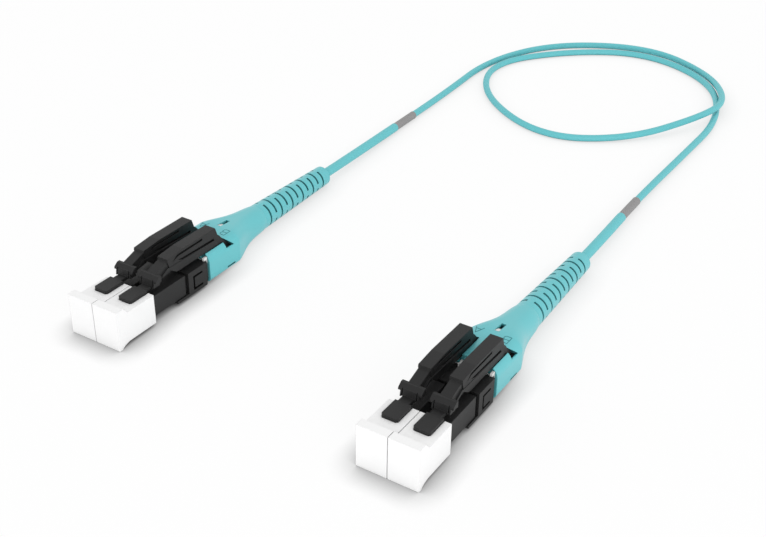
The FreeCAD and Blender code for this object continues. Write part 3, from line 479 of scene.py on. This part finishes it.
for end, axis in AHEAD.items():
    print("connector", end, "dips by", round(math.degrees(math.asin(axis.z)), 2), "degrees")

# %% [markdown]
# ## Letters on the boots
# A duplex connector says which of its two fibres is which with a plain A and B, sunk into the
# boot behind the levers and read from the cable's side. In the mould they are thin raised
# strokes on the insert. They could be cut into the boot's mesh, but that would spoil its smooth
# shading for a mark a tenth of a millimetre deep. So each stroke is a fine round line that is
# dropped on the boot's curved top and half sunk into it.

# %% Strokes of the letters, in millimetres
LETTER_LINE = 0.08
LETTER_ROUND_STEPS = 1
LETTER_SINK = 0.03
LETTER_STEP = 0.12
LETTER_DROP = 12.0
LETTERS = {
    "a": {
        "back": 32.358,
        "side": -3.1,
        "strokes": [[(0, -0.85), (2.1, 0), (0, 0.85)], [(0.7, -0.56), (0.7, 0.56)]],
    },
    "b": {
        "back": 32.258,
        "side": 2.75,
        "strokes": [
            [(0, 0.72), (2.1, 0.72)],
            [(0, 0.72), (0, -0.3), (0.25, -0.6), (0.8, -0.6), (1.05, -0.3), (1.05, 0.72)],
            [(1.05, -0.2), (1.3, -0.5), (1.85, -0.5), (2.1, -0.2), (2.1, 0.72)],
        ],
    },
}


def along(stroke):
    """Points at short even steps along a broken line."""
    places = []
    for (x0, y0), (x1, y1) in zip(stroke, stroke[1:]):
        steps = max(1, round(math.hypot(x1 - x0, y1 - y0) / LETTER_STEP))
        places += [
            (x0 + (x1 - x0) * step / steps, y0 + (y1 - y0) * step / steps)
            for step in range(steps)
        ]
    return places + [stroke[-1]]


print("letters:", list(LETTERS), "strokes:", [len(shape["strokes"]) for shape in LETTERS.values()])

# %% [markdown]
# ## From strokes to thin lines
# A ray goes down from above each point of a stroke and finds the boot's surface, so the line
# follows every curve of it. The strokes are drawn as a bevelled curve, which is then turned into
# a mesh: a letter has no moving or bending to do, and a mesh measures as small as it is.

# %% Draw the letters


def on_skin(end, shape, stroke, skin):
    """The points of a stroke, laid on the boot and sunk a little."""
    down = -UPWARD[end]
    places = []
    for forward, side in along(stroke):
        start = in_world(end, forward - shape["back"], shape["side"] + side, LETTER_DROP)
        hit, outward = skin.ray_cast(start, down)[:2]
        places.append(hit - outward * LETTER_SINK * MM)
    return places


def letter(end, which, skin):
    """One letter as thin lines half sunk into the boot's top."""
    shape = LETTERS[which]
    curve = bpy.data.curves.new(f"{end}_letter_{which}", "CURVE")
    curve.dimensions = "3D"
    curve.bevel_depth = LETTER_LINE * MM
    curve.bevel_resolution = LETTER_ROUND_STEPS
    curve.use_fill_caps = True
    for stroke in shape["strokes"]:
        places = on_skin(end, shape, stroke, skin)
        spline = curve.splines.new("POLY")
        spline.points.add(len(places) - 1)
        for point, place in zip(spline.points, places):
            point.co = (*place, 1.0)
    drawn = bpy.data.objects.new("drawn", curve)
    mark = bpy.data.objects.new(curve.name, bpy.data.meshes.new_from_object(drawn))
    bpy.data.objects.remove(drawn)
    bpy.context.scene.collection.objects.link(mark)
    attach(mark, "cord_set")
    mark.data.materials.append(SHADED_LETTER)
    return mark


# The letters' dark teal is painted shade, standing in for the dim floor of each sunk stroke.
SHADED_LETTER = finish(
    "letter_painted_shade", (0.03, 0.2, 0.225), 0.5, spread=0.02, bump=0.0, shine=0.2, shade=0.0)
for end in "ab":
    boot = frame["nodes"][f"{end}_boot"]
    corners = [boot.matrix_world @ vertex.co for vertex in boot.data.vertices]
    skin = BVHTree.FromPolygons(corners, [face.vertices for face in boot.data.polygons])
    for which in LETTERS:
        print("letter:", letter(end, which, skin).name)

# %% [markdown]
# ## Table
# The cord lies on a wide white table. A curved backdrop would give the same clean white, but one
# large flat sheet does too for a view that looks down on it, and the pale sky takes over beyond
# its far edge. It lies a hair below the lowest piece, so that nothing shares a face with it.

# %% Table sheet
TABLE_SIDE = 3000.0
TABLE_GAP = 0.02


def table_top():
    """A square sheet, a hair below the lowest piece."""
    mesh = bpy.data.meshes.new("table")
    half = TABLE_SIDE * MM / 2
    corners = [(-half, -half, 0), (half, -half, 0), (half, half, 0), (-half, half, 0)]
    mesh.from_pydata(corners, [], [(0, 1, 2, 3)])
    top = bpy.data.objects.new("table", mesh)
    top.location.z = -TABLE_GAP * MM
    bpy.context.scene.collection.objects.link(top)
    return top


table = table_top()
print("table side:", table.dimensions.x)

# %% [markdown]
# ## Shade round the object
# Under even light a thing still darkens the table just beside it, because it hides part of the
# sky from each spot there. Ambient occlusion measures that same hiding, so a small group turns
# it into how open a spot is: one far from the object, less beside and below it.

# %% Shade on the table
SHADE_SAMPLES = 16


def contact_group():
    """How open a spot of the table is: one in the open, lower beside and below the object."""
    group, start = new_group(
        "contact_shade",
        [("Reach", "NodeSocketFloat", 0.01), ("Depth", "NodeSocketFloat", 0.6)],
        [("Open", "NodeSocketFloat")],
    )
    reach = {"Distance": start["Reach"]}
    covered = add(group, "ShaderNodeAmbientOcclusion", reach, samples=SHADE_SAMPLES)
    missing = math_node(group, "SUBTRACT", 1.0, covered.outputs["AO"])
    shade = math_node(group, "MULTIPLY", missing, start["Depth"])
    add(group, "NodeGroupOutput", {"Open": math_node(group, "SUBTRACT", 1.0, shade)})
    return group


CONTACT = contact_group()
print("node group:", CONTACT.name)

# %% [markdown]
# ## White paint that stays white
# White paint alone would look light grey here, because the light is kept at a plain level for
# the object, and more light would bleach the caps. So the camera, a glossy surface or a clear
# one sees most of the table as plain white, while the light that the table throws back at the
# object stays that of the paint. The shade is painted onto both as the object's shadow: a deep
# one round the tall connectors, a faint one along the thin cable.

# %% Table material
TABLE_PAINT = 0.95
TABLE_ROUGHNESS = 0.9
PLAIN_SHARE = 0.85
SHADE_REACH = 5.5
SHADE_DEPTH = 1.08
SHADE_DEPTH_CABLE = 0.25
FADE_FROM = -15.0
FADE_TO = 5.0


def shade_depth(tree):
    """Deep at the connectors, faint along the cable, with a soft change between them."""
    position = add(tree, "ShaderNodeNewGeometry").outputs["Position"]
    fade = {
        "Value": add(tree, "ShaderNodeSeparateXYZ", {0: position}).outputs["Y"],
        "From Min": FADE_FROM * MM,
        "From Max": FADE_TO * MM,
        "To Min": SHADE_DEPTH,
        "To Max": SHADE_DEPTH_CABLE,
    }
    return add(tree, "ShaderNodeMapRange", fade, interpolation_type="SMOOTHSTEP").outputs[0]


def table_material():
    """White table. The camera sees most of it as plain white, less the shade near the object."""
    material = bpy.data.materials.new("white_table")
    material.use_nodes = True
    tree = material.node_tree
    near = {"Reach": SHADE_REACH * MM, "Depth": shade_depth(tree)}
    lit = add(tree, "ShaderNodeGroup", near, node_tree=CONTACT).outputs["Open"]
    paint = tree.nodes["Principled BSDF"]
    fill(tree, paint, {
        "Base Color": scaled(tree, (TABLE_PAINT, TABLE_PAINT, TABLE_PAINT), lit),
        "Roughness": TABLE_ROUGHNESS,
        "Specular IOR Level": 0.0,
    })
    path = add(tree, "ShaderNodeLightPath").outputs
    straight = math_node(tree, "MAXIMUM", path["Is Camera Ray"], path["Is Glossy Ray"])
    seen = math_node(tree, "MAXIMUM", straight, path["Is Transmission Ray"])
    both = add(tree, "ShaderNodeMixShader", {
        0: math_node(tree, "MULTIPLY", seen, PLAIN_SHARE),
        1: paint.outputs[0],
        2: add(tree, "ShaderNodeEmission", {"Strength": lit}).outputs[0],
    })
    fill(tree, tree.nodes["Material Output"], {"Surface": both.outputs[0]})
    return material


table.data.materials.append(table_material())
print("table finish:", table.data.materials[0].name)

# %% [markdown]
# ## Sky
# Light on a small object of black, white and aqua has to be even, or the black pieces lose their
# shape and the white ones clip. A pale sky all round gives most of it. It is a little brighter
# low down than overhead, so that upright faces hold their own against the tops.

# %% Sky
SKY_OVERHEAD = 0.85
SKY_HORIZON = 1.12


def world_light(overhead, horizon):
    """A pale sky, a little brighter low down than overhead."""
    world = bpy.data.worlds.new("studio")
    world.use_nodes = True
    tree = world.node_tree
    direction = add(tree, "ShaderNodeTexCoord").outputs["Generated"]
    height = {
        "Value": add(tree, "ShaderNodeSeparateXYZ", {0: direction}).outputs["Z"],
        "To Min": horizon,
        "To Max": overhead,
    }
    fill(tree, tree.nodes["Background"], {
        "Color": (1.0, 1.0, 1.0, 1.0),
        "Strength": add(tree, "ShaderNodeMapRange", height).outputs[0],
    })
    bpy.context.scene.world = world


world_light(SKY_OVERHEAD, SKY_HORIZON)
print("sky from", SKY_HORIZON, "to", SKY_OVERHEAD)

# %% [markdown]
# ## Lamp
# One large soft lamp stands low behind the camera, a little to its right. It lifts the faces
# that look at the viewer and puts a soft shine on the satin boots. A small lamp of the same
# strength would draw hard shadows beside every lever.

# %% Lamp
LAMP_PLACE = (550.0, -550.0, 240.0)
LAMP_TARGET = (0.0, 0.0, 10.0)
LAMP_SIDE = 500.0
LAMP_WATTS = 1.6


def panel_lamp(name, place, target, side, watts):
    """A square soft lamp that looks at a point, in millimetres."""
    data = bpy.data.lights.new(name, "AREA")
    data.shape = "SQUARE"
    data.size = side * MM
    data.energy = watts
    lamp = bpy.data.objects.new(name, data)
    lamp.location = metres(place)
    aim = Vector(target) - Vector(place)
    lamp.rotation_euler = aim.to_track_quat("-Z", "Y").to_euler()
    bpy.context.scene.collection.objects.link(lamp)
    return lamp


lamp = panel_lamp("front", LAMP_PLACE, LAMP_TARGET, LAMP_SIDE, LAMP_WATTS)
bpy.context.scene.view_settings.view_transform = "Standard"
print("lamp:", lamp.name, "watts", lamp.data.energy)
